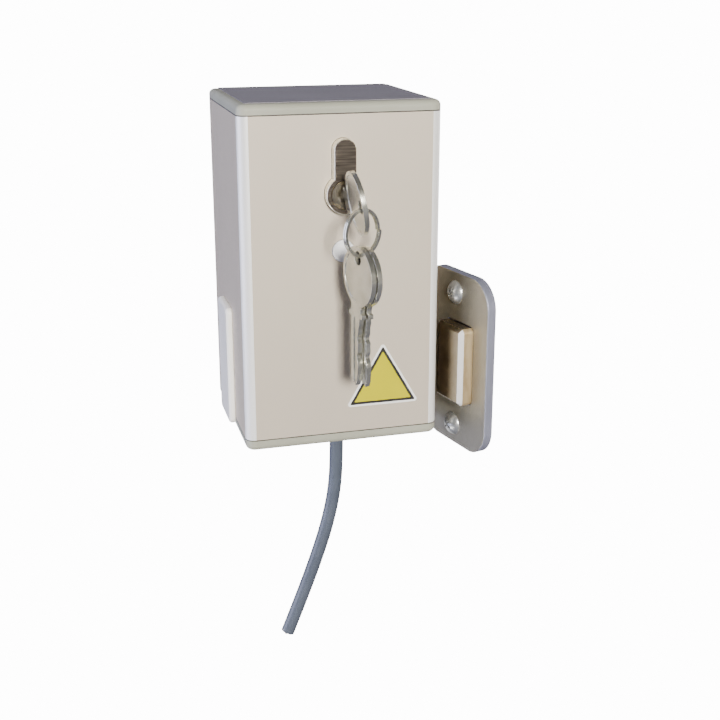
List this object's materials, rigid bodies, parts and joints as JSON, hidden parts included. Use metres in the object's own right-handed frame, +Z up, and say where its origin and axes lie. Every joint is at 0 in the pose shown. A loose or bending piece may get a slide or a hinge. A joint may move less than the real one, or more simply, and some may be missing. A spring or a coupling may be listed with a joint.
{
  "type": "sliding door lock",
  "caption": "Surface-mounted sliding door lock: upright box case with a key cylinder, button, cable and a separate keeper plate with a bevelled catch block",
  "frame": {"origin": "centre of the four mounting holes, on the back face of the base plate", "axes": "+Z up, -Y out of the front face with the key cylinder, +X towards the keeper"},
  "size_m": [0.1176, 0.1283, 0.2825],
  "materials": {
    "cover_paint": "satin champagne-grey anodised or painted aluminium",
    "cap_plastic": "fine-textured moulded plastic",
    "blank_plastic": "smooth moulded plastic",
    "galvanised_steel": "zinc plated sheet",
    "nickel": "dark satin nickel with fine brushing",
    "brass_plug": "machined",
    "key_steel": "nickel silver, polished",
    "white_plastic": "glossy",
    "black_plastic": "moulded",
    "label_film": "bare dark film",
    "sign_film": "yellow film with dark border",
    "keeper_steel": "satin stainless steel",
    "block_steel": "ground and polished steel",
    "copper_coil": "taped winding",
    "grey_block": "moulded",
    "rubber": "matt",
    "cable_sheath": "grey-blue PVC sheath"
  },
  "bodies": {
    "case": {"case_cover": "cover_paint", "top_cap": "cap_plastic", "bottom_cap": "cap_plastic", "bottom_cap_screws": "galvanised_steel", "cover_screws": "galvanised_steel", "base_plate": "galvanised_steel", "spacers": "galvanised_steel", "plate_screws": "galvanised_steel", "mechanism_plate": "galvanised_steel", "bracket_screws": "galvanised_steel", "cylinder_bracket": "galvanised_steel", "cylinder_body": "nickel", "cylinder_screw": "galvanised_steel", "button_housing": "black_plastic", "top_label": "label_film", "warning_sign": "sign_film", "blanking_plate": "blank_plastic", "latch_bracket": "galvanised_steel", "pivot_pin": "galvanised_steel", "pivot_clip": "galvanised_steel", "solenoid_frame": "galvanised_steel", "solenoid_coil": "copper_coil", "terminal_block": "grey_block", "terminal_screws": "galvanised_steel", "cable_grommet": "rubber", "inner_cable": "cable_sheath", "cable": "cable_sheath"},
    "plug": {"cylinder_plug": "brass_plug", "cylinder_cam": "galvanised_steel", "key_in_lock": "key_steel"},
    "ring": {"key_ring": "key_steel"},
    "front_key": {"spare_key_front": "key_steel"},
    "rear_key": {"spare_key_rear": "key_steel"},
    "button": {"exit_button": "white_plastic"},
    "latch": {"hook_latch": "galvanised_steel"},
    "release": {"release_bar": "galvanised_steel", "solenoid_plunger": "galvanised_steel", "link_pin": "galvanised_steel"},
    "keeper": {"keeper_plate": "keeper_steel", "keeper_block": "block_steel", "keeper_screws": "block_steel"}
  },
  "joints": [
    {"name": "plug_turn", "type": "hinge", "parent": "case", "child": "plug", "pos_m": [0, -0.087, 0.0393], "axis": [0, -1, 0], "range_deg": [-10, 80]},
    {"name": "release_slide", "type": "slide", "parent": "case", "child": "release", "axis": [0, 0, 1], "range_m": [-0.0011, 0.0081]},
    {"name": "latch_turn", "type": "hinge", "parent": "case", "child": "latch", "pos_m": [0.016, -0.028, -0.048], "axis": [0, 0, 1], "range_deg": [-1.6, 12.1]},
    {"name": "button_push", "type": "slide", "parent": "case", "child": "button", "axis": [0, 1, 0], "range_m": [0, 0.0015], "stiffness_N_per_m": 400},
    {"name": "ring_swing", "type": "hinge", "parent": "plug", "child": "ring", "pos_m": [0, -0.114, 0.03805], "axis": [0.866, 0.5, 0], "range_deg": [-25, 10]},
    {"name": "front_key_swing", "type": "hinge", "parent": "ring", "child": "front_key", "pos_m": [-0.00128, -0.11424, 0.01864], "axis": [0.9829, 0.184, 0], "range_deg": [-23, 12]},
    {"name": "rear_key_swing", "type": "hinge", "parent": "ring", "child": "rear_key", "pos_m": [0.00128, -0.11376, 0.01864], "axis": [0.9829, 0.184, 0], "range_deg": [-23, 12]},
    {"name": "keeper_travel", "type": "slide", "parent": "case", "child": "keeper", "axis": [1, 0, 0], "range_m": [0, 0.12]}
  ],
  "couplings": [
    {"joint": "release_slide", "follows": "plug_turn", "m_per_rad": 0.0057296},
    {"joint": "latch_turn", "follows": "plug_turn", "ratio": 0.15}
  ]
}
